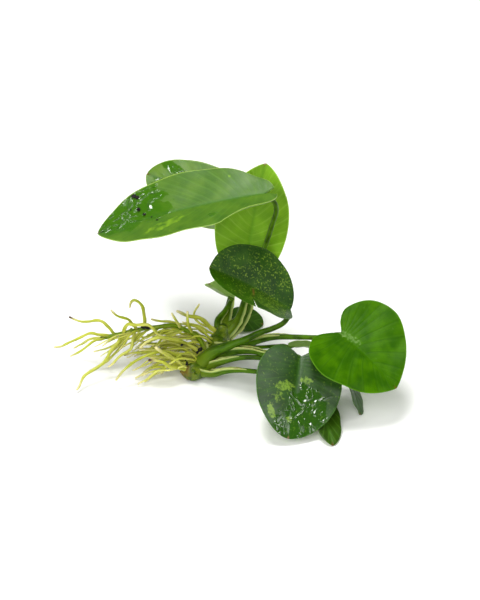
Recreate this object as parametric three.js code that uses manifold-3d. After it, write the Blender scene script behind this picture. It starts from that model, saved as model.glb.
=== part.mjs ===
// A bare-root anubias plant lying on a flat surface: rhizome, runner, leaf stalks, blades and main roots.
// Millimetres, +Z up. The origin is the middle of the flat patch under the rhizome, on the surface it lies on.
// -Y is the front of the plant, where most blades hang forward; the roots trail towards -X.

import * as THREE from 'three';
import { mergeVertices } from 'three/addons/utils/BufferGeometryUtils.js';
import Module from 'manifold-3d';

const wasm = await Module();
wasm.setup();

// driving dimensions
const gap = 0.3; // air between two pieces that touch on the real plant
const rhizomeRadius = 4.6;
const rhizomeWaist = 0.07; // depth of the rings left by old leaves, as a share of the radius
const rhizomeRings = 5;
const runnerRadius = 1.1;
const runnerTipRadius = 0.9;
const bladeThickness = 0.8;
const bladeEdge = 0.5; // thickness at the margin
const bladeRows = 12; // from the sinus to the tip, on each half
const bladeColumns = 3; // from the midrib to the margin
const sinusStart = 0.12; // radians of the outline that the sinus takes up
const stalkSides = 7;
const rootSides = 5;
const stepLength = 4.5; // along a stalk or root
const floorHalf = 200; // half side of the block that trims the rhizome's underside

const colors = {
  rhizome: 0x7f8f2c,
  runner: 0x3d5a16,
  stalk: 0x46701a,
  root: 0xbdb85c,
  lance: 0x4a8420,
  back: 0x4c7d33,
  upright: 0x6ba023,
  mottled: 0x2c5510,
  heart: 0x4c8a12,
  front: 0x3c6e1c,
  shaded: 0x33601f,
  young: 0x7f9a4a,
};

// Blades. at: where the stalk meets the blade. heading: compass angle of the midrib, 0 is +X and 90 is +Y.
// rise: slope of the midrib at the stalk. roll: turn about the midrib. belly: where the blade is widest, as a
// share of its length. lobe: how far the basal lobes reach behind the stalk. point: above 1 draws the tip
// out, below 1 rounds it. bend, twist and sweep: degrees over the whole length. fold: slope of each half up
// from the midrib. cup: how far the margin rises. Lengths are in millimetres, angles in degrees.
const blades = [
  { name: 'lance', color: 'lance', at: [30.5, 20, 87], heading: 181, rise: -10, roll: -12, length: 78,
    width: 35, belly: 0.45, lobe: 2, point: 1.35, blunt: 0.9, bend: 14, fold: 9, cup: 2, twist: -7, sweep: -1 },
  { name: 'back', color: 'back', at: [20, 46, 61.2], heading: 163, rise: 10, roll: -31, length: 48.5,
    width: 31.5, belly: 0.4, lobe: 3.5, point: 1.15, blunt: 0.8, bend: 11, fold: 5, cup: 1, twist: 4, sweep: -12 },
  { name: 'upright', color: 'upright', at: [22.5, 30, 42.5], heading: 68, rise: 73, roll: 10, length: 49,
    width: 33.5, belly: 0.4, lobe: 5, point: 1.45, blunt: 0.8, bend: -7, fold: 9, cup: 0, twist: 3, sweep: -8 },
  { name: 'mottled', color: 'mottled', at: [42, 8, 32.5], heading: 181, rise: 39, roll: -9, length: 44,
    width: 38, belly: 0.47, lobe: 1.5, point: 0.85, blunt: 0.95, bend: 7, fold: 13, cup: 3, twist: -6, sweep: 9 },
  { name: 'heart', color: 'heart', at: [65, -8, 31.5], heading: -42, rise: -15, roll: 15, length: 36,
    width: 48.5, belly: 0.23, lobe: 8, point: 1.55, blunt: 0.9, bend: 12, fold: 5, cup: 2.5, twist: 1, sweep: -8 },
  { name: 'front', color: 'front', at: [46, -16.5, 24.8], heading: -98, rise: -32, roll: -16, length: 39,
    width: 39, belly: 0.36, lobe: 5, point: 1.15, blunt: 0.8, bend: 2, fold: 6, cup: 2, twist: -8, sweep: -3 },
  { name: 'narrow', color: 'shaded', at: [54, -19, 7], heading: -79, rise: -9.5, roll: -12, length: 32,
    width: 13.5, belly: 0.46, lobe: 0, point: 1.15, blunt: 0.8, bend: 4, fold: 8, cup: 0, twist: -2, sweep: 0 },
  { name: 'low_back', color: 'mottled', at: [15.5, 43.5, 4.6], heading: -11, rise: -13, roll: 10, length: 15.5,
    width: 16, belly: 0.43, lobe: 1, point: 1.2, blunt: 0.8, bend: 3, fold: 4, cup: -1, twist: -3, sweep: 2 },
  { name: 'edge', color: 'shaded', at: [66, -7.7, 12.2], heading: -69, rise: -19, roll: -54, length: 25.5,
    width: 14, belly: 0.5, lobe: 0, point: 1.15, blunt: 0.8, bend: 12, fold: 11, cup: -1, twist: 0, sweep: 0 },
  { name: 'small', color: 'shaded', at: [41, 2, 17], heading: -4, rise: 6, roll: -60, length: 13,
    width: 8, belly: 0.45, lobe: 0, point: 1.1, blunt: 0.8, bend: 10, fold: 10, cup: 0, twist: 0, sweep: 0 },
  { name: 'young', color: 'young', at: [16, 22, 29.5], heading: 207, rise: 44, roll: 48, length: 18,
    width: 13.5, belly: 0.46, lobe: 0.5, point: 0.9, blunt: 0.8, bend: 0, fold: 11, cup: 2, twist: 6, sweep: 0 },
];

// Stalks, from inside the rhizome to just short of the blade they carry; foot and neck are radii.
const stalks = [
  { name: 'lance', foot: 1.4, neck: 1.1, route: [[11, 21, 7.5], [17, 24, 13], [19.5, 25, 19], [21, 25.5, 24],
    [25, 26, 39], [30.5, 25, 55], [34, 23.5, 69], [35.5, 22, 76.5], [34.5, 21, 81.5], [31.5, 20.3, 84.8]] },
  { name: 'back', foot: 1.4, neck: 1, route: [[11.5, 26, 9.5], [15, 35, 20], [18, 41, 35], [19.5, 45, 48],
    [20.5, 46.8, 58.5]] },
  { name: 'upright', foot: 1.4, neck: 1.1, route: [[12, 24.5, 8], [18, 27.5, 11], [21.5, 29, 16.5],
    [23, 29.5, 21.5], [23.5, 30, 31], [22.5, 30, 40.5]] },
  { name: 'mottled', foot: 1.6, neck: 1.1, route: [[2, 3.5, 5.5], [7, 3, 12.5], [13, 3, 15.5], [21.5, 3.5, 19],
    [28.5, 5, 22], [34, 6, 23.5], [39, 7, 26], [41.5, 8, 30]] },
  { name: 'heart', foot: 1.6, neck: 1.1, route: [[8.5, 15, 6.5], [17.5, 11.5, 9], [21.5, 10, 11.5], [28.5, 7, 16.5],
    [36, 3, 21], [46.5, -2, 24.5], [55.5, -5.5, 27], [63, -7.5, 30]] },
  { name: 'front', foot: 1.5, neck: 1.1, route: [[5.5, 8, 5.5], [12.5, 4, 11], [18.5, 2, 14], [25.5, -1, 16],
    [29.5, -4, 17], [38, -10, 20], [44.3, -14, 22.7]] },
  { name: 'edge', foot: 1.4, neck: 1, route: [[3, 3, 4], [13, -2, 11.5], [20, -2.2, 13.3],
    [28, -3.5, 14.2], [40, -5, 13.5], [52, -6, 13], [63, -6.5, 12]] },
  { name: 'narrow', foot: 1.4, neck: 1, route: [[0, 1, 3.5], [7, -4, 5.5], [13, -6, 8.5], [18.5, -8, 10.5],
    [26.5, -11, 12], [38, -15, 13], [46, -17.5, 10.5], [52.3, -18, 7.2]] },
  { name: 'low_back', foot: 1.2, neck: 0.9, route: [[12, 25.5, 8], [12, 34, 8.5], [13, 39, 7.5], [14.5, 42, 5.5]] },
  { name: 'small', foot: 1.2, neck: 0.8, route: [[9, 17, 5.5], [18, 15, 6.5], [28, 9.5, 10.5], [36, 5, 14.5],
    [39.5, 2.8, 16.3]] },
  { name: 'young', foot: 1.5, neck: 1, route: [[9.5, 23.5, 8], [9, 26, 13.5], [12.5, 25, 20], [15.5, 23.2, 27.5]] },
];

const rhizomeRoute = [[-7.5, -1, 4.4], [-1, 0.3, 3.9], [4, 5, 4], [8, 14, 6], [11.5, 23.5, 8.5], [13, 28.5, 10]];
const runnerRoute = [[4.5, 9.5, 6], [0, 13, 14], [-5.5, 14, 17], [-11, 14, 19.5], [-17.5, 13.5, 19],
  [-24, 13, 18.5], [-34, 12, 16.5], [-43.5, 11, 14.5]];

// Main roots: where each leaves, its radius there, and its route to the tip.
const roots = [
  { name: 'far_top', from: 'runner', radius: 0.8, route: [[-38, 12, 16], [-42.5, 14, 21.5], [-45.5, 15, 21.5],
    [-49.5, 16, 20], [-53, 17, 19.5], [-58, 18, 21.5]] },
  { name: 'far_long', from: 'runner', radius: 0.8, route: [[-40, 11.5, 15.5], [-48.5, 9, 18.5], [-57, 7, 15.5],
    [-62, 6, 13.5], [-65, 5, 13.5]] },
  { name: 'far_short', from: 'runner', radius: 0.7, route: [[-42.5, 11.5, 14.5], [-49.5, 13, 12.5],
    [-52.5, 14, 9], [-56.5, 15, 6]] },
  { name: 'far_low', from: 'runner', radius: 0.7, route: [[-42, 11, 14.5], [-47, 7.5, 15], [-51, 5, 14],
    [-57, 3, 10]] },
  { name: 'hook', from: 'runner', radius: 0.9, route: [[-24.5, 13, 18.5], [-24, 14, 26], [-26, 15, 31],
    [-28, 15.5, 32.5], [-29.5, 16, 31], [-31, 16.5, 28]] },
  { name: 'side_up', from: 'runner', radius: 0.8, route: [[-27.5, 13, 18], [-30.5, 10, 25], [-36, 8, 29],
    [-38, 7, 33]] },
  { name: 'arch', from: 'runner', radius: 0.9, route: [[-34, 12, 16.5], [-32, 9, 22.5], [-27.5, 7, 25.5],
    [-23, 6, 25], [-19.5, 5.5, 23.5], [-15, 5, 18.5]] },
  { name: 'long_front', from: 'runner', radius: 0.9, route: [[-35, 11.4, 15.7], [-36, 8, 14], [-43, 0, 9],
    [-49.5, -6, 6.5], [-55, -11, 1.5]] },
  { name: 'down_front', from: 'runner', radius: 0.8, route: [[-31.5, 12.5, 17], [-33.5, 11, 11.5],
    [-40, 8.5, 5], [-45, 7, 1.5]] },
  { name: 'down_short', from: 'runner', radius: 0.8, route: [[-28.5, 12.5, 17.5], [-30.5, 5, 13], [-36.5, 2, 9],
    [-40.5, 0, 7]] },
  { name: 'low_long', from: 'rhizome', radius: 0.9, route: [[-1, 2, 5], [-8, 3.5, 9.5], [-14.5, 2, 13.5],
    [-23.5, -2, 14], [-33, -6, 9], [-36.5, -8, 5]] },
  { name: 'low_red', from: 'rhizome', radius: 0.8, route: [[1, 4, 3.5], [-9, 7, 6], [-16.5, 7, 9.5],
    [-28.5, 8, 8.5], [-33.5, 9, 6.5]] },
  { name: 'foot', from: 'rhizome', radius: 1, route: [[-4, -1, 5], [-11, -5, 10], [-16, -6, 13.5],
    [-21, -7, 15]] },
  { name: 'diagonal', from: 'rhizome', radius: 1.1, route: [[-3, 0, 5], [-11, -1.5, 12], [-18, -3, 19.5]] },
  { name: 'top_thick', from: 'rhizome', radius: 1.2, route: [[9, 22, 9], [3, 21.5, 16.5], [-5.5, 19, 22],
    [-9, 18, 24]] },
  { name: 'top_thin', from: 'rhizome', radius: 0.7, route: [[11, 25.5, 8.5], [0.5, 27, 12], [-2, 28, 15],
    [0.5, 29, 20.5]] },
  { name: 'rise_right', from: 'runner', radius: 0.8, route: [[-2.5, 13.5, 15.5], [-4, 10.5, 23.5],
    [-4.5, 9.5, 30]] },
  { name: 'rise_left', from: 'runner', radius: 0.8, route: [[-8, 14, 18], [-9.5, 10.5, 25], [-11.5, 10, 29]] },
  { name: 'behind_runner', from: 'runner', radius: 0.8, route: [[-5.5, 14, 17], [-11.5, 18, 18], [-21, 20, 19]] },
  { name: 'middle', from: 'rhizome', radius: 0.9, route: [[3.5, 7, 5], [-3, 9.5, 11], [-10, 6, 17.5],
    [-19, 1, 21.5], [-25.5, -1, 18.5]] },
  { name: 'middle_back', from: 'rhizome', radius: 0.9, route: [[4.5, 8, 4], [-5, 11.5, 8], [-12, 13, 9],
    [-21, 16, 8], [-29, 19, 7.5]] },
  { name: 'ground_back', from: 'rhizome', radius: 0.9, route: [[8, 15, 6], [0, 20, 8], [-7.5, 22, 7],
    [-16.5, 25, 5], [-22, 27, 1.5]] },
  { name: 'ground_front', from: 'rhizome', radius: 0.9, route: [[-2, 0, 3.5], [-11, 1.5, 5], [-19, 0.5, 6],
    [-24.5, -2, 4.5]] },
];

const radians = THREE.MathUtils.degToRad;

function vector(values) {
  return new THREE.Vector3(...values);
}

// A closed mesh from corner points and triangles, ready to be cut.
function closedGeometry(points, triangles) {
  const geometry = new THREE.BufferGeometry();
  const positions = points.flatMap((p) => [p.x, p.y, p.z]);
  geometry.setAttribute('position', new THREE.Float32BufferAttribute(positions, 3));
  geometry.setIndex(triangles.flat());
  return geometry;
}

// A round bar along a smooth route, closed at both ends; radiusAt takes the share of the way along.
function bar(route, radiusAt, sides, steps) {
  const curve = new THREE.CatmullRomCurve3(route.map(vector), false, 'centripetal');
  const frames = curve.computeFrenetFrames(steps, false);
  const points = [];
  const triangles = [];
  for (let step = 0; step <= steps; step += 1) {
    const centre = curve.getPointAt(step / steps);
    for (let side = 0; side < sides; side += 1) {
      const angle = (2 * Math.PI * side) / sides;
      const radius = radiusAt(step / steps, angle);
      const point = centre.clone();
      point.addScaledVector(frames.normals[step], Math.cos(angle) * radius);
      point.addScaledVector(frames.binormals[step], Math.sin(angle) * radius);
      points.push(point);
    }
  }
  for (let step = 0; step < steps; step += 1) {
    for (let side = 0; side < sides; side += 1) {
      const next = (side + 1) % sides;
      const low = step * sides;
      const high = low + sides;
      triangles.push([low + side, low + next, high + side]);
      triangles.push([high + side, low + next, high + next]);
    }
  }
  const last = steps * sides;
  const startCentre = points.push(curve.getPointAt(0)) - 1;
  const endCentre = points.push(curve.getPointAt(1)) - 1;
  for (let side = 0; side < sides; side += 1) {
    const next = (side + 1) % sides;
    triangles.push([startCentre, next, side]);
    triangles.push([endCentre, last + side, last + next]);
  }
  return closedGeometry(points, triangles);
}

function stepsAlong(route) {
  const curve = new THREE.CatmullRomCurve3(route.map(vector), false, 'centripetal');
  return Math.max(4, Math.round(curve.getLength() / stepLength));
}

// One half of the blade's outline, flat: along the midrib and out from it. angle runs from 0 at the sinus
// to PI at the tip; the back part carries the lobe and the notch, the front part runs out to the tip.
function outline(blade, angle) {
  const belly = blade.belly * blade.length;
  const notch = Math.max(0, 1 - angle / 0.5) ** 2;
  const back = angle < Math.PI / 2;
  const reach = back ? belly + blade.lobe : blade.length - belly;
  const along = belly - reach * Math.cos(angle) + (back ? blade.lobe * notch : 0);
  const out = (blade.width / 2) * Math.sin(angle) ** (back ? blade.blunt : blade.point);
  return [along, out];
}

// Where the vein that ends at this angle of the outline leaves the midrib.
function veinFoot(blade, angle) {
  const share = angle / Math.PI;
  return blade.length * (0.15 * share + 0.85 * share ** 2.6);
}

// Takes a flat point of the blade into space: cross folding and cupping, twist, bend, then its attitude.
function onBlade(blade, along, out) {
  const share = along / blade.length;
  const twist = radians(blade.twist) * share;
  const fold = radians(blade.fold);
  const half = blade.width / 2;
  const flatSide = out * Math.cos(fold);
  const lift = Math.abs(out) * Math.sin(fold) + blade.cup * (out / half) ** 2;
  const side = flatSide * Math.cos(twist) - lift * Math.sin(twist);
  const up = flatSide * Math.sin(twist) + lift * Math.cos(twist);
  const bend = radians(blade.bend) || 1e-6;
  const turn = bend * share;
  const arc = blade.length / bend;
  const point = new THREE.Vector3(
    arc * Math.sin(turn) + up * Math.sin(turn),
    side + 0.5 * blade.length * radians(blade.sweep) * share * share,
    -arc * (1 - Math.cos(turn)) + up * Math.cos(turn),
  );
  point.applyEuler(new THREE.Euler(radians(blade.roll), -radians(blade.rise), radians(blade.heading), 'ZYX'));
  return point.add(vector(blade.at));
}

// The direction out of the blade's upper face; on the midrib it is the mean of the two halves.
function faceNormal(blade, along, out) {
  const probe = 0.2;
  const forward = onBlade(blade, along + probe, out).sub(onBlade(blade, along - probe, out));
  const across = onBlade(blade, along, out + probe).sub(onBlade(blade, along, out - probe));
  return forward.cross(across).normalize();
}

// A blade: an upper and a lower face over one grid, thinner at the margin, joined by a rim.
function bladeGeometry(blade) {
  const points = [];
  const known = new Map();
  const triangles = [];
  function corner(face, half, row, column) {
    const tip = row === bladeRows;
    const sinus = row === 0;
    const onRib = tip || sinus || column === 0;
    const key = [face, onRib ? 0 : half, row, tip || sinus ? 0 : column].join();
    if (!known.has(key)) {
      const angle = sinus ? 0 : sinusStart + ((Math.PI - sinusStart) * row) / bladeRows;
      const share = column / bladeColumns;
      const [edgeAlong, edgeOut] = outline(blade, angle);
      const foot = veinFoot(blade, angle);
      const along = onRib ? foot : foot + (edgeAlong - foot) * share;
      const out = onRib ? 0 : half * edgeOut * share;
      const margin = tip || sinus || column === bladeColumns;
      const offset = (face * (margin ? bladeEdge : bladeThickness)) / 2;
      const point = onBlade(blade, along, out).addScaledVector(faceNormal(blade, along, out), offset);
      known.set(key, points.push(point) - 1);
    }
    return known.get(key);
  }
  function triangle(a, b, c, flip) {
    if (a !== b && b !== c && c !== a) {
      triangles.push(flip ? [a, c, b] : [a, b, c]);
    }
  }
  for (const half of [1, -1]) {
    for (let row = 0; row < bladeRows; row += 1) {
      for (const face of [1, -1]) {
        for (let column = 0; column < bladeColumns; column += 1) {
          const near = corner(face, half, row, column);
          const ahead = corner(face, half, row + 1, column);
          const aheadOut = corner(face, half, row + 1, column + 1);
          const nearOut = corner(face, half, row, column + 1);
          triangle(near, ahead, aheadOut, face * half < 0);
          triangle(near, aheadOut, nearOut, face * half < 0);
        }
      }
      const top = corner(1, half, row, bladeColumns);
      const topAhead = corner(1, half, row + 1, bladeColumns);
      const under = corner(-1, half, row, bladeColumns);
      const underAhead = corner(-1, half, row + 1, bladeColumns);
      triangle(top, topAhead, underAhead, half < 0);
      triangle(top, underAhead, under, half < 0);
    }
  }
  return closedGeometry(points, triangles);
}

function toSolid(geometry) {
  const bare = geometry.clone();
  bare.deleteAttribute('normal');
  bare.deleteAttribute('uv');
  const merged = mergeVertices(bare);
  return new wasm.Manifold(new wasm.Mesh({
    numProp: 3,
    vertProperties: new Float32Array(merged.attributes.position.array),
    triVerts: new Uint32Array(merged.index.array),
  }));
}

function toGeometry(solid) {
  const mesh = solid.getMesh();
  const geometry = new THREE.BufferGeometry();
  geometry.setAttribute('position', new THREE.BufferAttribute(mesh.vertProperties, 3));
  geometry.setIndex(new THREE.BufferAttribute(mesh.triVerts, 1));
  geometry.computeVertexNormals();
  return geometry;
}

// Rounds a bar off at both ends of the rhizome and rings it where old leaves sat.
function rhizomeSolid(extra) {
  const roundEnd = 0.16;
  function radiusAt(share, angle) {
    const fromEnd = Math.min(share, 1 - share);
    const cap = fromEnd < roundEnd ? Math.sqrt(1 - (1 - fromEnd / roundEnd) ** 2) : 1;
    const ring = 1 - rhizomeWaist * Math.cos(2 * Math.PI * rhizomeRings * share);
    const lump = 1 + 0.05 * Math.sin(3 * angle + 7 * share);
    return Math.max(0.25, cap) * rhizomeRadius * ring * lump + extra;
  }
  return toSolid(bar(rhizomeRoute, radiusAt, 12, 20));
}

function runnerSolid(extra) {
  const radiusAt = (share) => THREE.MathUtils.lerp(runnerRadius, runnerTipRadius, share) + extra;
  return toSolid(bar(runnerRoute, radiusAt, stalkSides, stepsAlong(runnerRoute) + 4));
}

function stalkSolid(stalk) {
  const radiusAt = (share) => stalk.neck + (stalk.foot - stalk.neck) * (1 - share) ** 2;
  return toSolid(bar(stalk.route, radiusAt, stalkSides, stepsAlong(stalk.route)));
}

// A root keeps its radius for most of its length and thins towards a blunt tip.
function rootSolid(root) {
  const radiusAt = (share) => root.radius * (1 - 0.55 * share ** 3);
  return toSolid(bar(root.route, radiusAt, rootSides, stepsAlong(root.route) + 1));
}

const plant = new THREE.Group();

function addPiece(name, geometry, color, roughness) {
  const material = new THREE.MeshStandardMaterial({ color: colors[color], roughness, metalness: 0 });
  const mesh = new THREE.Mesh(geometry, material);
  mesh.name = name;
  plant.add(mesh);
}

// the rhizome, trimmed flat where it rests
const trim = new THREE.BoxGeometry(2 * floorHalf, 2 * floorHalf, floorHalf);
trim.translate(0, 0, -floorHalf / 2);
addPiece('rhizome', toGeometry(rhizomeSolid(0).subtract(toSolid(trim))), 'rhizome', 0.6);

const aroundRhizome = rhizomeSolid(gap);
const aroundRunner = runnerSolid(gap);
addPiece('runner', toGeometry(runnerSolid(0).subtract(aroundRhizome)), 'runner', 0.5);

for (const stalk of stalks) {
  addPiece(`stalk_${stalk.name}`, toGeometry(stalkSolid(stalk).subtract(aroundRhizome)), 'stalk', 0.4);
}

for (const blade of blades) {
  addPiece(`leaf_${blade.name}`, toGeometry(toSolid(bladeGeometry(blade))), blade.color, 0.35);
}

for (const root of roots) {
  const parent = root.from === 'runner' ? aroundRunner : aroundRhizome;
  addPiece(`root_${root.name}`, toGeometry(rootSolid(root).subtract(parent)), 'root', 0.5);
}

export default plant;
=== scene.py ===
import math
import random
import bmesh
import bpy
import numpy as np
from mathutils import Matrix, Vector


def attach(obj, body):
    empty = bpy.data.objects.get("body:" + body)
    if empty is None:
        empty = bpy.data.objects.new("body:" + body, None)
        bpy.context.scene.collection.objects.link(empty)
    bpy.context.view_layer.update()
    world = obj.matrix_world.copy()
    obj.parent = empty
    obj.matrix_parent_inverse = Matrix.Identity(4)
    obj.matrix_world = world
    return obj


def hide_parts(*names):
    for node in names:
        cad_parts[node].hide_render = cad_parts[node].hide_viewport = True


# A bare-root anubias, freshly lifted from water and laid on a pale card.
# Routes and blade shapes are in millimetres in the frame's own axes, and meshes are in metres.

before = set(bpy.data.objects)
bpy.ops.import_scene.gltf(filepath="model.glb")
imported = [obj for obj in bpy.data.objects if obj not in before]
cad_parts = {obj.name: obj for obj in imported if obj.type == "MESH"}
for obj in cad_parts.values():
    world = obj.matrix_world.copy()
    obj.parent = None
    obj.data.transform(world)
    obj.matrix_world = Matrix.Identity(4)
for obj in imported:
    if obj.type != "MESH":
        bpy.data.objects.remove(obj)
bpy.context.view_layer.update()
mm = 0.001
anyPhase = 6.3  # radians, a little over a full turn: random phases are drawn up to it
print("frame loaded:", len(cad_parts), "nodes")


def linearColor(hexValue):
    # screen colour to the linear values that the shader wants
    parts = [int(hexValue[i:i + 2], 16) / 255 for i in (0, 2, 4)]
    return [c / 12.92 if c <= 0.04045 else ((c + 0.055) / 1.055) ** 2.4 for c in parts] + [1.0]


def addNode(tree, kind, links=None, **settings):
    # links: socket name or number -> a value, or the output socket of another node
    # a Map Range has its value at 0, the range it comes from at 1 and 2, and the one it goes to at 3 and 4
    node = tree.nodes.new("ShaderNode" + kind)
    for name, value in settings.items():
        setattr(node, name, value)
    for socket, value in (links or {}).items():
        if isinstance(value, bpy.types.NodeSocket):
            tree.links.new(value, node.inputs[socket])
        else:
            node.inputs[socket].default_value = value
    return node


def startMaterial(name):
    material = bpy.data.materials.new(name)
    material.use_nodes = True
    material.node_tree.nodes.clear()
    return material, material.node_tree


def startBarMaterial(name):
    # a stalk, shoot or root: the place on its skin, and its marks (share along, tint, kind of tip)
    material, tree = startMaterial(name)
    place = addNode(tree, "Attribute", attribute_name="barPlace").outputs["Vector"]
    marks = addNode(tree, "Attribute", attribute_name="barMarks").outputs["Vector"]
    return material, tree, place, addNode(tree, "SeparateXYZ", {0: marks}).outputs


def finishMaterial(material, base, layers, gloss, reliefs, surface):
    # layers, each over the last: a pattern, its values where the colour starts and is full, strength, shade
    # gloss: a pattern, two of its values and the roughness at each
    # reliefs, each over the last: a pattern, its strength and its height in millimetres
    tree = material.node_tree
    color = linearColor(base)
    for pattern, start, full, strength, shade in layers:
        mask = addNode(tree, "MapRange", {0: pattern, 1: start, 2: full, 3: 0.0, 4: strength}).outputs[0]
        color = addNode(tree, "Mix", {0: mask, 6: color, 7: linearColor(shade)}, data_type="RGBA").outputs[2]
    roughness = addNode(tree, "MapRange", dict(enumerate(gloss))).outputs[0]
    bumps = {}
    for pattern, strength, height in reliefs:
        bump = addNode(tree, "Bump", {"Height": pattern, "Strength": strength,
                                     "Distance": height * mm, **bumps})
        bumps["Normal"] = bump.outputs[0]
    if "Coat Weight" in surface:
        bumps["Coat Normal"] = bumps["Normal"]
    skin = addNode(tree, "BsdfPrincipled", {"Base Color": color, "Roughness": roughness, **bumps, **surface})
    addNode(tree, "OutputMaterial", {"Surface": skin.outputs[0]})
    return material


def between(places, known, points):
    # points part of the way between those of a path
    return np.stack([np.interp(places, known, points[:, k]) for k in range(3)], 1)


def smoothRoute(route, step):
    # the same centripetal curve that the frame's bars follow, cut into even steps
    spanSteps = 30
    points = np.array(route, float)
    ends = [2 * points[0] - points[1], *points, 2 * points[-1] - points[-2]]
    pieces = []
    for p0, p1, p2, p3 in zip(ends, ends[1:], ends[2:], ends[3:]):
        d0, d1, d2 = (math.sqrt(np.linalg.norm(b - a)) for a, b in ((p0, p1), (p1, p2), (p2, p3)))
        leave = ((p1 - p0) / d0 - (p2 - p0) / (d0 + d1) + (p2 - p1) / d1) * d1
        arrive = ((p2 - p1) / d1 - (p3 - p1) / (d1 + d2) + (p3 - p2) / d2) * d1
        t = np.linspace(0, 1, spanSteps, endpoint=False)[:, None]
        pieces.append((2 * t**3 - 3 * t**2 + 1) * p1 + (t**3 - 2 * t**2 + t) * leave
                      + (3 * t**2 - 2 * t**3) * p2 + (t**3 - t**2) * arrive)
    line = np.vstack([*pieces, points[-1:]])
    run = np.concatenate([[0], np.cumsum(np.linalg.norm(np.diff(line, axis=0), axis=1))])
    even = np.linspace(0, run[-1], max(6, int(run[-1] / step)) + 1)
    return between(even, run, line), run[-1]


def carriedFrames(path):
    # two directions across the path, carried along it without twisting
    tangents = np.gradient(path, axis=0)
    tangents /= np.linalg.norm(tangents, axis=1)[:, None]
    side = np.cross(tangents[0], [0.0, 0.0, 1.0])
    if np.linalg.norm(side) < 0.2:  # the path starts nearly upright
        side = np.cross(tangents[0], [1.0, 0.0, 0.0])
    sides = []
    for tangent in tangents:
        side = side - tangent * (side @ tangent)
        side = side / np.linalg.norm(side)
        sides.append(side)
    sides = np.array(sides)
    return tangents, sides, np.cross(tangents, sides)


def ringFaces(rings, around):
    # quads between each ring of points and the next
    faces = []
    for ring in range(rings - 1):
        here, beyond = ring * around, (ring + 1) * around
        for k in range(around):
            n = (k + 1) % around
            faces.append((here + k, here + n, beyond + n, beyond + k))
    return faces


def gridFaces(index):
    # quads over a grid of point numbers
    return np.stack([index[:-1, :-1], index[1:, :-1], index[1:, 1:], index[:-1, 1:]], -1).reshape(-1, 4)


def gridBorder(index, inset=0):
    # the point numbers round a grid, or the ones just inside them in the same order
    far = -1 - inset
    return np.concatenate([index[:, inset], index[far, 1:], index[-2::-1, far], index[inset, -2:0:-1]])


def tubeSkin(path, radiusAt, around, domeRings=3):
    # a closed tube; radiusAt(share, angle) is in millimetres, and both ends are domed
    # places holds the share along, the angle and the radius of each point
    tangents, sides, ups = carriedFrames(path)
    shares = np.linspace(0, 1, len(path))
    angles = np.linspace(0, 2 * math.pi, around, endpoint=False)
    rings = [(centre, share, a, b, 1.0) for centre, share, a, b in zip(path, shares, sides, ups)]
    for step in range(1, domeRings + 1):
        lean = math.pi / 2 * step / (domeRings + 1)
        reachStart, reachEnd = (radiusAt(share, angles).mean() * math.sin(lean) for share in (0.0, 1.0))
        rings.insert(0, (path[0] - tangents[0] * reachStart, 0.0, sides[0], ups[0], math.cos(lean)))
        rings.append((path[-1] + tangents[-1] * reachEnd, 1.0, sides[-1], ups[-1], math.cos(lean)))
    verts, places = [], []
    for centre, share, a, b, scale in rings:
        radii = radiusAt(share, angles) * scale
        verts.append(centre + (radii * np.cos(angles))[:, None] * a + (radii * np.sin(angles))[:, None] * b)
        places.append(np.stack([np.full(around, share), angles, radii], 1))
    verts.append(np.array([rings[0][0], rings[-1][0]]))
    places.append(np.array([[0.0, 0, 0], [1.0, 0, 0]]))
    faces = ringFaces(len(rings), around)
    firstPole, lastRing = len(rings) * around, (len(rings) - 1) * around
    for k in range(around):
        n = (k + 1) % around
        faces.append((firstPole, n, k))
        faces.append((firstPole + 1, lastRing + k, lastRing + n))
    return np.vstack(verts), faces, np.vstack(places)


def ripple(x, y, size, seed):
    # a smooth, repeatable unevenness between about -1 and 1, with swells of about the given size
    rng = random.Random(seed)
    waves = 6
    total = np.zeros(np.broadcast(x, y).shape)
    for _ in range(waves):
        turn = rng.uniform(0, math.pi)
        wave = size * rng.uniform(0.7, 1.5)
        across = x * math.cos(turn) + y * math.sin(turn)
        total = total + np.sin(2 * math.pi * across / wave + rng.uniform(0, anyPhase))
    return total * 2 / waves


def joinParts(parts):
    # several (verts, faces, places) into one
    verts, faces, places, start = [], [], [], 0
    for partVerts, partFaces, partPlaces in parts:
        verts.append(partVerts)
        places.append(partPlaces)
        faces += [tuple(i + start for i in face) for face in partFaces]
        start += len(partVerts)
    return np.vstack(verts), faces, np.vstack(places)


def addPiece(name, verts, faces, material, attributes, stands=None):
    mesh = bpy.data.meshes.new(name)
    mesh.from_pydata((np.asarray(verts) * mm).tolist(), [], faces)
    for label, values in attributes.items():
        layer = mesh.attributes.new(label, "FLOAT_VECTOR", "POINT")
        layer.data.foreach_set("vector", np.asarray(values, np.float32).ravel())
    mesh.materials.append(material)
    mesh.polygons.foreach_set("use_smooth", np.ones(len(mesh.polygons), bool))
    mesh.update()
    piece = bpy.data.objects.new(name, mesh)
    bpy.context.scene.collection.objects.link(piece)
    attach(piece, "root")
    if stands:
        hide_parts(stands)
    return piece


# at: where the stalk joins the blade, and the angles are in degrees; roll turns about the midrib
# belly: share of the length where the blade is widest; blunt and point: how full it is before and after
# spots: kind, place along and out, reach along and out, turn, strength; slit: place, side, depth of a tear
leafCommon = dict(
    lobe=0, blunt=0.8, twist=0, sweep=0, cup=0,
    wave=0.3, waveLength=16, swell=0.4, quilt=0.03, veins=13, veinArc=2.6, groove=0.3, ridge=0.9,
    thickness=0.5, edge=0.28, curl=0, curlEnd=10, ear=0, slit=None, straight=False, veinLean=0, spots=(),
    base="3f6f10", deep="2c5408", light="6c9a34", vein="6a9a30", rib="2f5a14", rim="a3bd5a",
    under="7f9f4c", tip="6b4a1e", tipLength=0.45, veinShow=0.2, streakShow=0.2,
    fleckFrom=0.92, fleckTo=1.02, fleckSize=1.1, fleckShow=0.9, pale="9db43c", wetTone="457800",
    gloss=0.36, shine=0.3,
)

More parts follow.
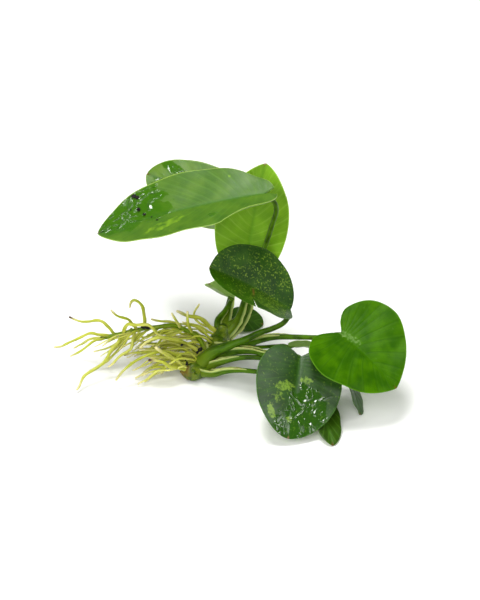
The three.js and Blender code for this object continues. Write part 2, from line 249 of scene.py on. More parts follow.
leaves = dict(
    lance=dict(
        at=(30.5, 20, 87), heading=181, rise=-10, roll=-12, length=78, width=35, belly=0.45, lobe=2,
        point=1.35, blunt=0.9, bend=14, fold=9, cup=2, twist=-7, sweep=-1, slot="leaf_green",
        veins=17, wave=0.4, waveLength=24, swell=0.6, curl=1.1, curlEnd=20, ear=4.5,
        base="4b7010", deep="3a620c", light="6a9634", vein="5f8f2c", rib="3c6820", rim="a9c45c",
        spots=(("wet", 66, -5, 14, 10, 0, 1), ("wet", 56, -8, 11, 8, 0, 1), ("wet", 48, -2, 7, 4, 20, 0.7),
               ("pale", 46, 8.5, 10, 2.8, 15, 0.72), ("pale", 14.8, -11, 0.7, 0.6, 0, 1),
               ("wet", 24, 9, 2.2, 1.6, 0, 0.8)),
        pale="7ba31c", fleckFrom=0.7, fleckTo=1.1, fleckSize=3.0, veinShow=0.12, gloss=0.42, shine=0.34,
        wetTone="2e6000", quilt=0.012),
    back=dict(
        at=(20, 46, 61.2), heading=163, rise=10, roll=-31, length=48.5, width=31.5, belly=0.4, lobe=3.5,
        point=1.15, bend=11, fold=5, cup=1, twist=4, sweep=-12, slot="leaf_green",
        base="527410", deep="40680c", light="6a9634", wetTone="2e6000", veins=12, veinShow=0.1,
        gloss=0.42, shine=0.42,
        spots=(("wet", 38, -8, 8, 2.5, -10, 1), ("wet", 40, 3, 4, 5, 0, 0.7))),
    upright=dict(
        at=(22.5, 30, 42.5), heading=68, rise=73, roll=10, length=49, width=33.5, belly=0.4, lobe=5,
        point=1.45, bend=-7, fold=9, twist=3, sweep=-8, slot="leaf_pale",
        base="6e9c18", deep="5e8c10", light="97ba4c", vein="9dc048", rib="588a14", rim="aecb5c",
        tip="8a5a20", tipLength=0.4, veins=14, gloss=0.4, shine=0.15),
    mottled=dict(
        at=(42, 8, 32.5), heading=181, rise=39, roll=-9, length=44, width=38, belly=0.47, lobe=1.5,
        point=0.85, blunt=0.95, bend=7, fold=13, cup=3, twist=-6, sweep=9, slot="leaf_mottled", wave=0.15,
        base="2a5000", deep="193c00", light="446c18", vein="35560f", rib="2f5210", rim="3c5c14", groove=0.1,
        pale="73912a", fleckFrom=0.63, fleckTo=0.75, fleckSize=0.9, fleckShow=0.8, veinShow=0.05,
        streakShow=0.15, straight=True, veinLean=0.12, slit=(21.9, 1, 11.0), tipLength=0.3,
        spots=(("brown", 21.4, 4.4, 0.5, 2.6, 0, 0.9), ("pale", 20, -9, 11, 9, 0, 0.17),
               ("pale", 12, 6, 10, 9, 0, 0.24), ("pale", 27, 8, 9, 9, 0, 0.17),
               ("pale", 36, -4, 7, 9, 0, 0.12), ("pale", 8, -12, 7, 6, 0, 0.2)),
        gloss=0.38, shine=0.11),
    heart=dict(
        at=(64, -8, 31.3), heading=-42, rise=-15, roll=15, length=36, width=46.8, belly=0.23, lobe=8,
        point=1.55, blunt=0.9, bend=12, fold=5, cup=2.5, twist=1, sweep=-8, slot="leaf_bright",
        base="3e6c00", deep="275200", light="5c8a2c", vein="244e00", rib="356200", rim="5c8a1c",
        veinShow=0.45, streakShow=0.15, veins=12, veinArc=3.6, wave=0.5, shine=0.04,
        # the heart's pale spot and its flecks by the notch are a painted sheen: lighter streaks standing in
        # for light caught there
        spots=(("pale", 4, 1, 7, 1.6, 10, 0.68),), pale="7fa05a", fleckFrom=0.7, fleckTo=1.2, fleckSize=1.6),
    front=dict(
        at=(46, -16.5, 24.8), heading=-98, rise=-32, roll=-16, length=39, width=39, belly=0.36, lobe=5,
        point=1.15, bend=2, fold=6, cup=2, twist=-8, sweep=-3, slot="leaf_variegated",
        base="1f4600", deep="153600", light="48741c", vein="41701c", rib="2a5210", rim="42701a",
        wetTone="244e00",
        spots=(("pale", 15.5, -5.5, 2.4, 5.0, 10, 0.6), ("pale", 21.3, -7.6, 2.6, 2.2, 0, 0.45),
               ("pale", 28.6, -10.3, 3.4, 1.8, 25, 0.7), ("pale", 30.3, -1.1, 1.6, 1.6, 0, 0.6),
               ("pale", 11.2, 4.1, 1.4, 3.0, 0, 0.6), ("wet", 25, 6, 11, 10, 0, 1),
               ("wet", 34, 0, 6, 9, 0, 1)),
        pale="6f9028", fleckFrom=0.6, fleckTo=0.86, veinShow=0.1, gloss=0.4, shine=0.5),
    narrow=dict(
        at=(54, -19, 7), heading=-79, rise=-9.5, roll=-12, length=32, width=13.5, belly=0.46,
        point=1.15, bend=4, fold=8, twist=-2, slot="leaf_dark", veins=9, wave=0.2,
        base="2a4a00", deep="203c00", light="45632a", rib="3f6a14", rim="4f6c2a", shine=0.15),
    low_back=dict(
        at=(15.5, 43.5, 4.6), heading=-11, rise=-13, roll=10, length=15.5, width=16, belly=0.43, lobe=1,
        point=1.2, bend=3, fold=4, cup=-1, twist=-3, sweep=2, slot="leaf_dark", veins=7, wave=0.15,
        swell=0.2, base="2f5208", deep="244604", light="4f7030", rib="3a5c14", rim="4f6c2a", shine=0.12),
    edge=dict(
        at=(66, -7.7, 12.2), heading=-69, rise=-19, roll=-54, length=25.5, width=14, belly=0.5,
        point=1.15, bend=12, fold=11, cup=-1, slot="leaf_dark", veins=9, wave=0.2,
        base="34502a", deep="2a441c", light="5a7350", rim="5f7a4a", under="4d6a3a", shine=0.2),
    small=dict(
        at=(41, 2, 17), heading=-4, rise=6, roll=-60, length=13, width=8, belly=0.45,
        point=1.1, bend=10, fold=10, slot="leaf_dark", veins=6, wave=0.2, swell=0.2,
        base="33551a", deep="28480f", light="58763c", shine=0.3),
    young=dict(
        at=(16, 22, 29.5), heading=207, rise=44, roll=48, length=16.5, width=13.5, belly=0.46, lobe=0.5,
        point=0.9, bend=0, fold=11, cup=2, twist=6, slot="leaf_pale", veins=7, wave=0.1, swell=0.2,
        base="5f8a2c", deep="4d7820", light="83a455", shine=0.3, tipLength=0.4),
)

sinusStart = 0.12  # radians of the outline taken up by the sinus, as in the frame
notchReach = 0.5  # radians of the outline that the sinus draws inwards
leafStep = 0.75  # spacing of the blade's grid
tipWidth = 0.3  # width of the outline's last row, which closes the tip
tearGap = 0.55  # how far the rows on both sides of a tear stand from it
tearClear = 0.8  # no other row is nearer to a tear than this


def bladeOutline(leaf, angle):
    # half of the outline, flat: along the midrib and out from it, from the sinus (0) to the tip (pi)
    belly = leaf["belly"] * leaf["length"]
    back = angle < math.pi / 2
    notch = np.clip(1 - angle / notchReach, 0, 1) ** 2
    reach = np.where(back, belly + leaf["lobe"], leaf["length"] - belly)
    along = belly - reach * np.cos(angle) + np.where(back, leaf["lobe"] * notch, 0)
    power = np.where(back, leaf["blunt"], leaf["point"])
    return along, leaf["width"] / 2 * np.sin(angle) ** power


def onBlade(leaf, along, out, lift=0.0):
    # flat blade to space: fold and cup across, twist, bend along, then its attitude
    share = along / leaf["length"]
    twist = math.radians(leaf["twist"]) * share
    fold = math.radians(leaf["fold"])
    raised = np.abs(out) * math.sin(fold) + leaf["cup"] * (out * 2 / leaf["width"]) ** 2 + lift
    across = out * math.cos(fold)
    side = across * np.cos(twist) - raised * np.sin(twist)
    up = across * np.sin(twist) + raised * np.cos(twist)
    bend = math.radians(leaf["bend"]) or 1e-6
    turn, arc = bend * share, leaf["length"] / bend
    side = side + 0.5 * leaf["length"] * math.radians(leaf["sweep"]) * share**2
    point = np.stack([(arc + up) * np.sin(turn), side, up * np.cos(turn) - arc * (1 - np.cos(turn))], -1)
    turns = [math.radians(leaf[key]) for key in ("heading", "rise", "roll")]
    cosH, cosR, cosO = (math.cos(turn) for turn in turns)
    sinH, sinR, sinO = (math.sin(turn) for turn in turns)
    headingTurn = np.array([[cosH, -sinH, 0], [sinH, cosH, 0], [0, 0, 1]])
    riseTurn = np.array([[cosR, 0, -sinR], [0, 1, 0], [sinR, 0, cosR]])
    rollTurn = np.array([[1, 0, 0], [0, cosO, -sinO], [0, sinO, cosO]])
    return point @ (headingTurn @ riseTurn @ rollTurn).T + np.array(leaf["at"])


def evenAngles(leaf):
    # outline angles that give rows of even spacing round the margin
    tipAngle = (tipWidth / leaf["width"]) ** (1 / leaf["point"])
    fine = np.linspace(sinusStart, math.pi - tipAngle, 3000)
    along, out = bladeOutline(leaf, fine)
    run = np.concatenate([[0], np.cumsum(np.hypot(np.diff(along), np.diff(out)))])
    places = np.linspace(0, run[-1], max(24, int(run[-1] / leafStep)) + 1)
    if leaf["slit"]:
        cut = np.interp(leaf["slit"][0], along, run)
        places = places[np.abs(places - cut) > tearClear]
        places = np.sort(np.append(places, [cut - tearGap, cut, cut + tearGap]))
    return np.interp(places, run, fine)


def spotMasks(leaf, along, out, seed):
    # pale, brown and wet patches, each with an uneven edge
    unevenness, outside, soft = 0.22, 1.12, 0.3  # of a patch whose reach is 1
    masks = {kind: np.zeros(along.shape) for kind in ("pale", "brown", "wet")}
    for number, (kind, x, y, reach, spread, turn, strength) in enumerate(leaf["spots"]):
        c, s = math.cos(math.radians(turn)), math.sin(math.radians(turn))
        u, v = (along - x) * c + (out - y) * s, (out - y) * c - (along - x) * s
        uneven = unevenness * ripple(along, out, 1.2 + 0.5 * min(reach, spread), seed + number)
        distance = np.hypot(u / reach, v / spread) + uneven
        masks[kind] = np.maximum(masks[kind], strength * np.clip((outside - distance) / soft, 0, 1))
    fromTip = np.hypot(along - leaf["length"], out)
    masks["brown"] = np.maximum(masks["brown"], np.clip(1.8 - fromTip / leaf["tipLength"], 0, 1))
    return np.stack([masks["pale"], masks["brown"], masks["wet"]], -1)


def bladeGrid(leaf):
    # flat places over the blade: each row runs out from the midrib to the margin, as the side veins do
    angles = evenAngles(leaf)[:, None]
    half = leaf["width"] / 2
    columns = max(8, int(half / leafStep))
    across = np.linspace(-1, 1, 2 * columns + 1)[None, :]
    share = np.abs(across) ** 0.9
    edgeAlong, edgeOut = bladeOutline(leaf, angles)
    turn = angles / math.pi
    foot = leaf["length"] * (0.15 * turn + 0.85 * turn ** leaf["veinArc"])
    if leaf["straight"]:  # rows square to the midrib, for a tear that runs across
        foot = np.clip(edgeAlong, 0, leaf["length"])
    pulled = share
    if leaf["slit"]:  # a tear: one row stops short of the margin
        place, hand, depth = leaf["slit"]
        atCut = (np.abs(edgeAlong - place) < 0.2) & (np.sign(across) == hand)
        pulled = share * np.where(atCut, 1 - depth / half, 1)
    along = foot + (edgeAlong - foot) * pulled**1.3
    out = np.sign(across) * edgeOut * pulled
    if leaf["ear"]:  # the lobes reach back past the stalk
        earLength, earWidth = 9, 11
        back = np.clip(1 - along / earLength, 0, 1) ** 2 * np.clip(np.abs(out) / 2, 0, 1)
        back = back * np.where(across > 0, 1, 1 - np.clip(np.abs(out) / earWidth, 0, 1))
        along = along - leaf["ear"] * back
    return along, out, share, across, turn, foot


def bladeRelief(leaf, along, out, share, across, veinNumber, seed):
    # lift off the flat: waves at the margin, slow swells, raised flesh between the side veins, a curled edge
    waveTurn = 2 * math.pi * along / leaf["waveLength"] + seed + np.sign(across)
    wave = leaf["wave"] * share**3 * np.sin(waveTurn)
    swell = leaf["swell"] * share * ripple(along, out, leaf["width"] / 2 * 1.3, seed)
    flesh = np.clip(share * 4, 0, 1) * np.clip(4 - 4 * share, 0, 1)  # none at the midrib or the margin
    quilt = leaf["quilt"] * np.cos(2 * math.pi * veinNumber) * flesh
    lift = wave + swell - quilt
    if leaf["curl"]:
        curlStart, curlTurn = 0.85, 1.8
        near = np.clip((share - curlStart) / (1 - curlStart), 0, 1)
        near = near * np.clip(1 - along / leaf["curlEnd"], 0, 1) ** 0.5 * (across > 0)
        lift = lift + leaf["curl"] * np.sin(near * curlTurn)
        out = out - 0.3 * leaf["curl"] * (1 - np.cos(near * curlTurn))
    return lift, out


def bladeShell(leaf, mid, out, share, foot):
    # two faces either side of the middle sheet and a rounded rim between them, as one closed shell
    normal = np.cross(np.gradient(mid, axis=0), np.gradient(mid, axis=1))
    normal /= np.maximum(np.linalg.norm(normal, axis=2), 1e-9)[..., None]
    thin = leaf["edge"] + (leaf["thickness"] - leaf["edge"]) * np.clip((1 - share) * 5, 0, 1)
    ribLeft = np.clip(1 - foot / leaf["length"], 0, 1)
    groove = leaf["groove"] * ribLeft**0.5 * np.exp(-((out / 0.9) ** 2))
    ridge = leaf["ridge"] * ribLeft * np.exp(-((out / (0.35 + 0.5 * ribLeft)) ** 2))
    top = mid + normal * (thin / 2 - groove)[..., None]
    bottom = mid - normal * (thin / 2 + ridge)[..., None]
    count = mid.shape[0] * mid.shape[1]
    index = np.arange(count).reshape(mid.shape[:2])
    upper = gridFaces(index)
    lower = upper[:, ::-1] + count
    border, inner = gridBorder(index), gridBorder(index, 1)
    flatMid = mid.reshape(-1, 3)
    outward = flatMid[border] - flatMid[inner]
    outward /= np.maximum(np.linalg.norm(outward, axis=1), 1e-6)[:, None]
    rim = flatMid[border] + outward * leaf["edge"] * 0.45
    rimIndex = 2 * count + np.arange(len(border))
    nextBorder, nextRim = np.roll(border, -1), np.roll(rimIndex, -1)
    rimTop = np.stack([border, rimIndex, nextRim, nextBorder], -1)
    rimLow = np.stack([rimIndex, border + count, nextBorder + count, nextRim], -1)
    faces = np.vstack([upper, lower, rimTop, rimLow]).tolist()
    return np.vstack([top.reshape(-1, 3), bottom.reshape(-1, 3), rim]), faces, border


def makeBlade(name, seed):
    leaf = {**leafCommon, **leaves[name]}
    along, out, share, across, turn, foot = bladeGrid(leaf)
    veinNumber = leaf["veins"] * (turn - leaf["veinLean"] * share**2)
    lift, out = bladeRelief(leaf, along, out, share, across, veinNumber, seed)
    verts, faces, border = bladeShell(leaf, onBlade(leaf, along, out, lift), out, share, foot)
    # each point keeps its place on the flat blade, its side vein and face (0 above, 1 below), and its patches
    along, out, share = (np.broadcast_to(v, veinNumber.shape).ravel() for v in (along, out, share))
    place = np.stack([along, out, share], -1)
    veinPlace = np.stack([veinNumber.ravel(), share, 0 * share], -1)
    marks = spotMasks(leaf, along, out, seed)
    attributes = {
        "leafPlace": np.vstack([place, place, place[border]]),
        "veinPlace": np.vstack([veinPlace, veinPlace + [0, 0, 1], veinPlace[border]]),
        "leafMarks": np.vstack([marks, marks, marks[border]]),
    }
    addPiece("blade_" + name, verts, faces, waxyLeaf(name, leaf), attributes, "leaf_" + name)


# pattern sizes in millimetres; a leaf's skin cells are near 0.05 mm, and are drawn coarser so that they show
leafSkin = dict(drift=9, mottle=1.5, finePerVein=5, cell=0.35, cellRelief=0.05, veinRelief=0.15)
waterFilm = dict(swirl=9, levels=5.5, gaps=6, relief=0.4, gloss=0.1, ridgeGloss=0.04)


def waxyLeaf(name, leaf):
    # fresh leaf under a waxy cuticle: a broad grey sheen, side veins as faint lines, paler rim and underside
    material, tree = startMaterial("waxyLeaf_" + name)
    fields = [addNode(tree, "Attribute", attribute_name=label).outputs["Vector"]
              for label in ("leafPlace", "veinPlace", "leafMarks")]
    place = fields[0]
    spread, veins, marks = (addNode(tree, "SeparateXYZ", {0: field}).outputs for field in fields)
    # side veins about 3 mm apart, with finer ones between them
    toVein = addNode(tree, "Math", {0: veins[0], 1: 0.5}, operation="PINGPONG").outputs[0]
    veinLine = addNode(tree, "MapRange", {0: toVein, 1: 0.0, 2: 0.13, 3: leaf["veinShow"], 4: 0.0}).outputs[0]
    finer = addNode(tree, "Math", {0: veins[0], 1: leafSkin["finePerVein"]}, operation="MULTIPLY").outputs[0]
    toFine = addNode(tree, "Math", {0: finer, 1: 0.5}, operation="PINGPONG").outputs[0]
    offRib = addNode(tree, "Math", {0: spread[1]}, operation="ABSOLUTE").outputs[0]
    # slow colour drift, a mottle of cells, and streaks that run with the veins
    drift = addNode(tree, "TexNoise", {"Vector": place, "Scale": 1 / leafSkin["drift"],
                                       "Detail": 2.0}).outputs[0]
    mottle = addNode(tree, "TexNoise", {"Vector": place, "Scale": 1 / leafSkin["mottle"], "Detail": 4.0,
                                        "Roughness": 0.6}).outputs[0]
    streakPlace = addNode(tree, "CombineXYZ", {0: finer, 1: veins[1]}).outputs[0]
    streaks = addNode(tree, "TexNoise", {"Vector": streakPlace, "Scale": 0.9, "Detail": 3.0}).outputs[0]
    # flecks lie thick where a pale patch is strong; on the heart leaf that patch is a painted sheen by the
    # notch
    flecks = addNode(tree, "TexNoise", {"Vector": place, "Scale": 1 / leaf["fleckSize"], "Detail": 2.0,
                                        "Roughness": 0.55}).outputs[0]
    fleckHeight = addNode(tree, "Math", {0: marks[0], 1: 0.5, 2: flecks}, operation="MULTIPLY_ADD").outputs[0]
    layers = [
        (drift, 0.38, 0.64, 1, leaf["deep"]),
        (mottle, 0.45, 0.7, 0.3, leaf["deep"]),
        (streaks, 0.5, 0.75, leaf["streakShow"], leaf["light"]),
        (veinLine, 0, 1, 1, leaf["vein"]),
        (toFine, 0.3, 0, leaf["veinShow"] * 0.35, leaf["vein"]),
        (offRib, 1.3, 0.2, 0.6, leaf["rib"]),
        (marks[2], 0, 1, 0.75, leaf["wetTone"]),  # under water the wax no longer greys the green
        (fleckHeight, leaf["fleckFrom"], leaf["fleckTo"], leaf["fleckShow"], leaf["pale"]),
        (spread[2], 0.978, 0.997, 0.6, leaf["rim"]),
        (veins[2], 0.4, 0.6, 0.85, leaf["under"]),
        (marks[1], 0, 1, 1, leaf["tip"]),
    ]
    dryGloss = addNode(tree, "MapRange", {0: streaks, 1: 0.3, 2: 0.7, 3: leaf["gloss"] - 0.05,
                                          4: leaf["gloss"] + 0.08}).outputs[0]
    # a film of water runs down the blade, with broken ridges that catch the light
    filmPlace = addNode(tree, "Mapping", {0: place, 3: (0.6, 1, 1)}).outputs[0]
    film = addNode(tree, "TexNoise", {"Vector": filmPlace, "Scale": 1 / waterFilm["swirl"], "Detail": 2.0,
                                      "Distortion": 0.6}).outputs[0]
    filmLevels = addNode(tree, "Math", {0: film, 1: waterFilm["levels"]}, operation="MULTIPLY").outputs[0]
    toLevel = addNode(tree, "Math", {0: filmLevels, 1: 0.5}, operation="PINGPONG").outputs[0]
    ridges = addNode(tree, "MapRange", {0: toLevel, 1: 0.0, 2: 0.3, 3: 1.0, 4: 0.0},
                     interpolation_type="SMOOTHSTEP").outputs[0]
    gaps = addNode(tree, "TexNoise", {"Vector": place, "Scale": 1 / waterFilm["gaps"],
                                      "Detail": 2.0}).outputs[0]
    gapMask = addNode(tree, "MapRange", {0: gaps, 1: 0.4, 2: 0.5}).outputs[0]
    broken = addNode(tree, "Math", {0: ridges, 1: gapMask}, operation="MULTIPLY").outputs[0]
    filmHeight = addNode(tree, "Math", {0: broken, 1: marks[2]}, operation="MULTIPLY").outputs[0]
    coat = addNode(tree, "MapRange", {0: filmHeight, 1: 0.0, 2: 0.4}).outputs[0]
    cells = addNode(tree, "TexVoronoi", {"Vector": place, "Scale": 1 / leafSkin["cell"]}).outputs[0]
    veinDip = addNode(tree, "Math", {0: veinLine, 1: -1.0}, operation="MULTIPLY").outputs[0]
    gloss = (marks[2], 0.2, 0.8, dryGloss, waterFilm["gloss"])
    reliefs = [(cells, 0.12, leafSkin["cellRelief"]), (veinDip, 0.5, leafSkin["veinRelief"]),
               (filmHeight, 1.0, waterFilm["relief"])]
    return finishMaterial(material, leaf["base"], layers, gloss, reliefs, {
        "IOR": 1.45, "Specular IOR Level": leaf["shine"],
        "Coat Weight": coat, "Coat Roughness": waterFilm["ridgeGloss"],
        "Subsurface Weight": 0.12, "Subsurface Radius": (0.5, 1.0, 0.1), "Subsurface Scale": 0.6 * mm})


for number, name in enumerate(leaves):
    makeBlade(name, 11 + 7 * number)
print("blades made:", len(leaves))


# foot and neck: radius at the two ends; flare: extra radius at the foot, which fades over flareRun
stalkCommon = dict(foot=1.4, neck=1.0, flare=1.6, flareRun=6.0, channel=0.1, intoRib=5.0, sheath=None)

# sheath: a thin pale wing on each side, up to reach (a share of the length); lean is the way it opens
stalks = dict(
    lance=dict(
        neck=1.1, flare=1.1, flareRun=7.0, sheath=dict(reach=0.3, width=1.5, lean=(1.0, 0.25, -0.2)),
        route=[(11, 21, 7.5), (17, 24, 13), (19.5, 25, 19), (21, 25.5, 24), (25, 26, 39), (30.5, 25, 55),
               (34, 23.5, 69), (35.5, 22, 76.5), (34.5, 21, 81.5), (31.5, 20.3, 84.8)]),
    back=dict(
        sheath=dict(reach=0.35, width=1.3, lean=(0.8, 0.4, 0.2)),
        route=[(11.5, 26, 9.5), (15, 35, 20), (18, 41, 35), (19.5, 45, 48), (20.5, 46.8, 58.5)]),
    upright=dict(
        neck=1.2, flare=3.2, flareRun=12.0, sheath=dict(reach=0.72, width=1.5, lean=(1.0, 0.35, 0.1)),
        route=[(12, 24.5, 8), (18, 27.5, 11), (21.5, 29, 16.5), (23, 29.5, 21.5), (23.5, 30, 31),
               (22.5, 30, 40.5)]),
    mottled=dict(
        foot=1.6, neck=1.1, flare=3.0, flareRun=12.0,
        route=[(2, 3.5, 5.5), (7, 3, 12.5), (13, 3, 15.5), (21.5, 3.5, 19), (28.5, 5, 22), (34, 6, 23.5),
               (39, 7, 26), (41.5, 8, 30)]),
    heart=dict(
        foot=1.6, neck=1.1, flare=2.6, flareRun=11.0,
        sheath=dict(reach=0.6, width=1.5, lean=(-0.1, 0.45, 1.0)),
        route=[(8.5, 15, 6.5), (17.5, 11.5, 9), (21.5, 10, 11.5), (28.5, 7, 16.5), (36, 3, 21),
               (46.5, -2, 24.5), (55.5, -5.5, 27), (63, -7.5, 30)]),
    front=dict(
        foot=1.5, neck=1.1, flare=2.6, flareRun=11.0,
        sheath=dict(reach=0.72, width=1.3, lean=(-0.1, 0.5, 1.0)),
        route=[(5.5, 8, 5.5), (12.5, 4, 11), (18.5, 2, 14), (25.5, -1, 16), (29.5, -4, 17), (38, -10, 20),
               (44.3, -14, 22.7)]),
    edge=dict(
        flare=2.2, sheath=dict(reach=0.3, width=1.1, lean=(-0.1, 0.5, 1.0)),
        route=[(3, 3, 4), (13, -2, 11.5), (20, -2.2, 13.3), (28, -3.5, 14.2), (40, -5, 13.5), (52, -6, 13),
               (63, -6.5, 12)]),
    narrow=dict(
        flare=1.8, sheath=dict(reach=0.42, width=1.3, lean=(-0.1, 0.45, 1.0)),
        route=[(0, 1, 3.5), (7, -4, 5.5), (13, -6, 8.5), (18.5, -8, 10.5), (26.5, -11, 12), (38, -15, 13),
               (46, -17.5, 10.5), (52.3, -18, 7.2)]),
    low_back=dict(
        foot=1.2, neck=0.9, intoRib=3.0,
        route=[(12, 25.5, 8), (12, 34, 8.5), (13, 39, 7.5), (14.5, 42, 5.5)]),
    small=dict(
        foot=1.2, neck=0.8, intoRib=3.0,
        route=[(9, 17, 5.5), (18, 15, 6.5), (28, 9.5, 10.5), (36, 5, 14.5), (39.5, 2.8, 16.3)]),
    young=dict(
        foot=1.2, intoRib=3.0, flare=0.9, sheath=dict(reach=0.6, width=1.0, lean=(0.9, 0.4, 0.2)),
        route=[(9.5, 23.5, 8), (9, 26, 13.5), (12.5, 25, 20), (15.5, 23.2, 27.5)]),
)


def barFields(places, length, seed, tip=0.0):
    # where each point is on the skin in millimetres, and its marks: share along, tint, kind of tip
    tintShift = 37  # moves the pattern on, so that no two bars have the same
    share, angle, radius = places.T
    tint = random.Random(seed).random()
    skin = np.stack([radius * np.cos(angle), radius * np.sin(angle), share * length + tintShift * tint], 1)
    return {"barPlace": skin, "barMarks": np.stack([share, 0 * share + tint, 0 * share + tip], 1)}


def makeStalk(name, seed, skin, membrane):
    stalk = {**stalkCommon, **stalks[name]}
    leaf = {**leafCommon, **leaves[name]}
    # the last points run on under the midrib
    inward = np.array([0.15, 0.45, 1.0]) * stalk["intoRib"]
    underneath = np.array([-1.0, -1.05, -0.7])
    ribPoints = onBlade(leaf, inward, 0 * inward, underneath)
    path, length = smoothRoute([*stalk["route"], *ribPoints], 0.7)
    intoShare = stalk["intoRib"] / length
    up = np.array(stalk["sheath"]["lean"] if stalk["sheath"] else (0, 0, 1.0))
    _, sides, ups = carriedFrames(path)
    upAngle = math.atan2(float(ups[len(path) // 3] @ up), float(sides[len(path) // 3] @ up))

    def radiusAt(share, angle):
        base = stalk["neck"] + (stalk["foot"] - stalk["neck"]) * (1 - share) ** 2
        base += stalk["flare"] * math.exp(-share * length / stalk["flareRun"])
        base *= min(1.0, 0.3 + 0.7 * (1 - share) / intoShare)
        fromUp = (angle - upAngle + math.pi) % (2 * math.pi) - math.pi
        channel = stalk["channel"] * np.exp(-((fromUp / 0.5) ** 2))
        return base * (1 - channel + 0.02 * np.sin(9 * angle + 3 * share))

    verts, faces, places = tubeSkin(path, radiusAt, 20)
    addPiece("petiole_" + name, verts, faces, skin, barFields(places, length, seed), "stalk_" + name)
    if stalk["sheath"]:
        makeSheath(name, path, length, sides, ups, radiusAt, upAngle, stalk["sheath"], seed, membrane)


def makeSheath(name, path, length, sides, ups, radiusAt, upAngle, sheath, seed, membrane):
    # two wings, each a thin closed strip that stands off the stalk and turns in over its channel
    rng = random.Random(seed + 500)
    opening, turnIn, thickness, columns = 1.15, 0.35, 0.16, 6
    count = int(sheath["reach"] * (len(path) - 1))
    rows = np.arange(1, count + 1)
    steps = np.arange(len(path))
    parts = []
    for hand in (-1, 1):
        share = rows / count * sheath["reach"] * rng.uniform(0.86, 1.0)
        at = np.interp(share, np.linspace(0, 1, len(path)), steps)
        centre, across, over = (between(at, steps, field) for field in (path, sides, ups))
        way = rows / count
        ragged = 1 + 0.12 * ripple(share * length, 0 * share, 3.5, seed + hand)
        width = sheath["width"] * np.minimum(1, 1.6 * (1 - way) ** 0.6) * (0.75 + 0.25 * way) * ragged
        layers = []
        for face in (-1, 1):
            for part in np.linspace(0, 1, columns):
                angle = upAngle + hand * (opening - turnIn * part)
                foot = np.array([float(radiusAt(s, np.array([angle]))[0]) for s in share]) * 0.9
                thick = thickness * (1 - 0.6 * part) * face
                radial = foot + width * part
                turned = angle + thick / np.maximum(radial, 0.4)
                layers.append(centre + (radial * np.cos(turned))[:, None] * across
                              + (radial * np.sin(turned))[:, None] * over)
        # out along one face, back on the other
        grid = np.stack([*layers[:columns], *layers[:columns - 1:-1]], 1)
        ringSize = grid.shape[1]
        faces = ringFaces(count, ringSize)
        faces.append(tuple(range(ringSize - 1, -1, -1)))
        faces.append(tuple((count - 1) * ringSize + k for k in range(ringSize)))
        outward = np.array([*np.linspace(0, 1, columns), *np.linspace(1, 0, columns)])
        places = [np.repeat(way, ringSize), np.tile(outward, count), np.repeat(share * length, ringSize)]
        parts.append((grid.reshape(-1, 3), faces, np.stack(places, 1)))
    verts, faces, places = joinParts(parts)
    fixFacing(addPiece("sheath_" + name, verts, faces, membrane, {"sheathPlace": places}))


def fixFacing(piece):
    # turns every closed shell so that its faces point out
    mesh = bmesh.new()
    mesh.from_mesh(piece.data)
    bmesh.ops.recalc_face_normals(mesh, faces=mesh.faces)
    mesh.to_mesh(piece.data)
    mesh.free()


def petioleSkin():
    # turgid leaf stalk, smooth and faintly ribbed: deep green above, paler where it clasps the rhizome
    look = dict(deep="284402", base="436804", pale="627816", streak="62881c", rib=0.6, patch=5, gloss=0.36)
    material, tree, place, marks = startBarMaterial("petioleSkin")
    drawn = addNode(tree, "Mapping", {0: place, 3: (1, 1, 0.07)}).outputs[0]  # stretched along the stalk
    fibres = addNode(tree, "TexNoise", {"Vector": drawn, "Scale": 1 / look["rib"], "Detail": 3.0}).outputs[0]
    patches = addNode(tree, "TexNoise", {"Vector": place, "Scale": 1 / look["patch"],
                                         "Detail": 2.0}).outputs[0]
    layers = [
        (patches, 0.4, 0.65, 1, look["deep"]),
        (fibres, 0.5, 0.75, 0.5, look["streak"]),
        (marks[0], 0.22, 0.04, 0.85, look["pale"]),
    ]
    gloss = (fibres, 0.3, 0.7, look["gloss"] - 0.06, look["gloss"] + 0.08)
    return finishMaterial(material, look["base"], layers, gloss, [(fibres, 0.35, 0.12)], {
        "IOR": 1.45, "Specular IOR Level": 0.14,
        "Subsurface Weight": 0.15, "Subsurface Radius": (0.6, 1.0, 0.15), "Subsurface Scale": 1.0 * mm})


def sheathMembrane():
    # thin skin at the edge of a stalk's sheath: pale and half clear, with a dry buff edge in places
    look = dict(base="466e10", pale="b6c272", buff="a08a54", vein="74902e", patch=2.5, gloss=0.4)
    material, tree = startMaterial("sheathMembrane")
    place = addNode(tree, "Attribute", attribute_name="sheathPlace").outputs["Vector"]
    spread = addNode(tree, "SeparateXYZ", {0: place}).outputs
    lines = addNode(tree, "CombineXYZ", {0: spread[1], 1: spread[2]}).outputs[0]
    drawn = addNode(tree, "Mapping", {0: lines, 3: (5.0, 0.18, 1)}).outputs[0]  # lines that run up the sheath
    veins = addNode(tree, "TexNoise", {"Vector": drawn, "Scale": 1.0, "Detail": 2.0}).outputs[0]
    patches = addNode(tree, "TexNoise", {"Vector": place, "Scale": 1 / look["patch"],
                                         "Detail": 3.0}).outputs[0]
    atEdge = addNode(tree, "MapRange", {0: spread[1], 1: 0.65, 2: 1.0}).outputs[0]
    dry = addNode(tree, "MapRange", {0: patches, 1: 0.52, 2: 0.62}).outputs[0]
    dryEdge = addNode(tree, "Math", {0: atEdge, 1: dry}, operation="MULTIPLY").outputs[0]
    layers = [
        (spread[1], 0.1, 0.8, 1, look["pale"]),
        (veins, 0.5, 0.7, 0.5, look["vein"]),
        (dryEdge, 0, 1, 1, look["buff"]),
    ]
    gloss = (veins, 0.3, 0.7, look["gloss"], look["gloss"] + 0.15)
    return finishMaterial(material, look["base"], layers, gloss, [(veins, 0.5, 0.12)], {
        "IOR": 1.4, "Subsurface Weight": 0.3, "Subsurface Radius": (1.0, 1.2, 0.4),
        "Subsurface Scale": 0.8 * mm})


